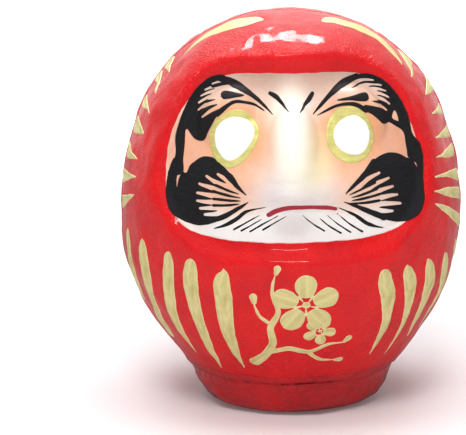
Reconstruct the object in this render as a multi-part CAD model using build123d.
"""A papier-mache daruma doll, 180 mm tall, in millimetres.

The doll is a hollow paper shell on a weighted base. The shell is laid up on a wooden mould, cut into a front
and a back half to free the mould, glued edge to edge and taped over with strips of washi paper. Its open neck
is glued to a shallow paper cup that holds a cake of dried clay, which keeps the doll upright. Another strip
of washi covers that joint, and a disc of paper closes the underside.

Frame: the origin is the centre of the foot on the table, +Z is up and the face looks along -Y.
"""

import math
import os

from build123d import *

# Overall form of the shell
HEIGHT = 180.0
BELLY_RADIUS = 78.0
BELLY_HEIGHT = 87.0
CROWN_FULLNESS = 0.6  # 0.55 gives an ellipse, 1 a flat-topped drum
NECK_RADIUS = 46.8
NECK_HEIGHT = 16.5
NECK_SLOPE = 53.0  # degrees from level, where the belly runs into the neck
BELLY_DROP = 36.0  # how far down the belly stays upright
NECK_REACH = 19.0  # how far up from the neck the slope holds

# Walls and joints
SHELL_WALL = 2.2
CUP_WALL = 2.0
WASHI = 0.3
GLUE_LINE = 0.1

# Base cup and its weight
CUP_STEP = 0.8  # how far the cup's rim stands inside the shell's lip
CUP_RIM_RADIUS = NECK_RADIUS - CUP_STEP
FOOT_RADIUS = 31.0
FOOT_PAPER = 0.4
CLAY_DISH = 3.0  # depth of the hollow thumbed into the top of the clay
CLAY_MARGIN = 1.5  # bare cup wall left above the clay

# Face, set back into the hood. Each corner of the opening is an arc: its middle across and up, and its radius
HOOD_CORNER_TOP = (18.0, 126.5, 30.0)
HOOD_CORNER_SIDE = (24.5, 110.0, 30.0)
HOOD_CORNER_BOTTOM = (20.0, 111.5, 26.0)
FACE_SETBACK = 6.0
FACE_DROP = 5.0  # lowers the face within the hood, which deepens the forehead more than the chin
HOOD_ROLL = 3.0  # radius that rolls the hood's edge over into the recess

# Features of the face: half sizes across, deep and high, height of the middle, and how far they stand proud
NOSE = ((11.0, 13.0, 19.0), 123.0, 7.0)
EYE = ((16.0, 12.0, 18.0), 130.5, 2.0)
EYE_SPACING = 49.0
LIP = ((27.0, 12.0, 12.0), 100.0, 2.5)

# Strips of washi over the seam
SEAM_STRIPS = 5
SEAM_STRIP_WIDTH = 12.0
STRIP_END_GAP = 0.5
STRIP_LOWEST = NECK_HEIGHT + 8.0
NECK_STRIP_RISE = 4.0
NECK_STRIP_DROP = 4.0

FAR = 2 * HEIGHT


def profile(inset):
    """The shell's outline from the crown to the neck, taken in by a wall thickness."""
    top = HEIGHT - inset
    belly = BELLY_RADIUS - inset
    neck = NECK_RADIUS - inset
    slope = math.radians(NECK_SLOPE)
    crown = Bezier(
        (0, top),
        (CROWN_FULLNESS * belly, top),
        (belly, BELLY_HEIGHT + CROWN_FULLNESS * (top - BELLY_HEIGHT)),
        (belly, BELLY_HEIGHT),
    )
    lower = Bezier(
        (belly, BELLY_HEIGHT),
        (belly, BELLY_HEIGHT - BELLY_DROP),
        (
            neck + NECK_REACH * math.cos(slope),
            NECK_HEIGHT + NECK_REACH * math.sin(slope),
        ),
        (neck, NECK_HEIGHT),
    )
    return crown + lower


def half_section(inset):
    """Half of the shell's solid form, on the XZ plane, closed along the axis and the neck."""
    outline = profile(inset)
    close = Polyline(
        (NECK_RADIUS - inset, NECK_HEIGHT), (0, NECK_HEIGHT), (0, HEIGHT - inset)
    )
    return make_face(outline + close)


def turned(face):
    """A half section turned about the doll's axis."""
    return revolve(Plane.XZ * face, Axis.Z)


def face_outline(grow):
    """The opening of the hood seen from the front, grown outwards by a wall thickness."""
    corners = Sketch()
    for across, up, radius in (HOOD_CORNER_TOP, HOOD_CORNER_SIDE, HOOD_CORNER_BOTTOM):
        corners += [Pos(side * across, up) * Circle(radius + grow) for side in (-1, 1)]
    return make_hull(corners.edges())


def face_form(inset):
    """The form that the face follows: the shell's own, set back and lowered."""
    return Pos(0, FACE_SETBACK, -FACE_DROP) * turned(half_section(inset))


def recess(inset):
    """What is cut away in front of the face."""
    window = extrude(Plane.XZ * face_outline(inset), FAR)
    return window - face_form(inset)


def ellipsoid(half_sizes):
    return scale(Sphere(1), by=half_sizes)


def feature(face, size, height, proud, x=0.0):
    """A swelling of the face whose crest stands proud of it by a set amount."""
    across, deep, high = size
    sight = Line((x, -FAR, height), (x, 0, height)).edge()
    surface = min(v.Y for v in (face & sight).vertices())
    return Pos(x, surface - proud + deep, height) * ellipsoid((across, deep, high))


def hood_edges(form):
    """The edge of the recess where its wall, which runs straight back, meets the outside of the hood."""
    ahead = form.faces().filter_by(lambda f: f.center().Y < -BELLY_RADIUS / 4)
    walls = [f for f in ahead if f.geom_type in (GeomType.PLANE, GeomType.CYLINDER)]
    walls = [w for w in walls if abs(w.normal_at().Y) < 1e-3]
    across = [w.edges().filter_by(GeomType.LINE, reverse=True) for w in walls]
    return [edges.sort_by(Axis.Y)[0] for edges in across]


def doll_form():
    """The shell's outer form, solid, with the face recess and its features."""
    face = face_form(0)
    form = turned(half_section(0)) - recess(0)
    form = fillet(hood_edges(form), HOOD_ROLL)
    form += feature(face, *LIP)
    form += feature(face, *EYE, x=EYE_SPACING / 2)
    form += feature(face, *EYE, x=-EYE_SPACING / 2)
    form += feature(face, *NOSE)
    return form


def shell_halves():
    """The paper shell, cut in two across its sides, with a line of glue between the halves."""
    cavity = turned(half_section(SHELL_WALL)) - recess(SHELL_WALL)
    shell = doll_form() - cavity
    half = GLUE_LINE / 2
    behind = Pos(0, -half + FAR / 2, HEIGHT / 2) * Box(FAR, FAR, FAR)
    ahead = Pos(0, half - FAR / 2, HEIGHT / 2) * Box(FAR, FAR, FAR)
    return shell - behind, shell - ahead


def cup_section(inset, top):
    """Half of the base cup's solid form, taken in by a wall thickness and filled to a height."""
    rim = CUP_RIM_RADIUS - inset
    foot = FOOT_RADIUS - inset
    floor = FOOT_PAPER + inset
    wall = EllipticalCenterArc(
        (foot, NECK_HEIGHT - GLUE_LINE),
        rim - foot,
        NECK_HEIGHT - GLUE_LINE - floor,
        start_angle=270,
        arc_size=90,
    )
    rest = Polyline(wall @ 1, (0, NECK_HEIGHT - GLUE_LINE), (0, floor), wall @ 0)
    filled = make_face(wall + rest)
    return filled & Pos(0, top - FAR / 2) * Rectangle(FAR, FAR)


def base_cup():
    """The paper cup under the neck."""
    top = NECK_HEIGHT - GLUE_LINE
    return turned(cup_section(0, top) - cup_section(CUP_WALL, top))


def clay_weight():
    """The cake of dried clay in the cup, with a thumbed hollow in its top."""
    top = NECK_HEIGHT - CLAY_MARGIN
    cake = turned(cup_section(CUP_WALL + GLUE_LINE, top))
    width = CUP_RIM_RADIUS - CUP_WALL - 4 * CLAY_DISH
    radius = (width**2 + CLAY_DISH**2) / (2 * CLAY_DISH)
    return cake - Pos(0, 0, top - CLAY_DISH + radius) * Sphere(radius)


def foot_paper():
    """The disc of paper under the cup, which the doll stands on."""
    thickness = FOOT_PAPER - GLUE_LINE / 2
    return Pos(0, 0, thickness / 2) * Cylinder(FOOT_RADIUS, thickness)


def neck_section(grow):
    """Half of the solid form of shell and cup together, grown outwards, with the joint between them closed."""
    reach = NECK_RADIUS + grow
    joint = Pos(reach / 2, NECK_HEIGHT) * Rectangle(reach, 2 * (GLUE_LINE + grow))
    return half_section(-grow) + cup_section(-grow, NECK_HEIGHT - GLUE_LINE) + joint


def neck_strip():
    """The strip of washi over the joint between shell and cup."""
    low = NECK_HEIGHT - NECK_STRIP_DROP
    high = NECK_HEIGHT + NECK_STRIP_RISE
    band = Pos(0, (low + high) / 2) * Rectangle(FAR, high - low)
    layer = neck_section(GLUE_LINE + WASHI) - neck_section(GLUE_LINE)
    return turned(layer & band)


def seam_strips():
    """The strips of washi over the seam, end to end from one side of the neck over the crown to the other."""
    layer = turned(half_section(-GLUE_LINE - WASHI) - half_section(-GLUE_LINE))
    layer &= Pos(0, 0, HEIGHT / 2) * Box(FAR, SEAM_STRIP_WIDTH, FAR)
    reach = math.degrees(math.atan2(STRIP_LOWEST - BELLY_HEIGHT, BELLY_RADIUS))
    span = (180 - 2 * reach) / SEAM_STRIPS
    spare = math.degrees(STRIP_END_GAP / BELLY_RADIUS)
    strips = []
    for i in range(SEAM_STRIPS):
        start = math.radians(reach + i * span)
        end = math.radians(reach + (i + 1) * span - spare)
        wedge = make_face(
            Polyline(
                (0, 0),
                (FAR * math.cos(start), FAR * math.sin(start)),
                (FAR * math.cos(end), FAR * math.sin(end)),
                close=True,
            )
        )
        slab = extrude(Plane.XZ * Pos(0, BELLY_HEIGHT) * wedge, FAR, both=True)
        strips.append(layer & slab)
    return strips


def write(name, shape):
    export_step(Compound(shape.solids()), f"parts/{name}.step")


os.makedirs("parts", exist_ok=True)
front, back = shell_halves()
write("shell_front", front)
write("shell_back", back)
write("base_cup", base_cup())
write("clay_weight", clay_weight())
write("foot_paper", foot_paper())
write("neck_strip", neck_strip())
for number, strip in enumerate(seam_strips(), start=1):
    write(f"seam_strip_{number}", strip)
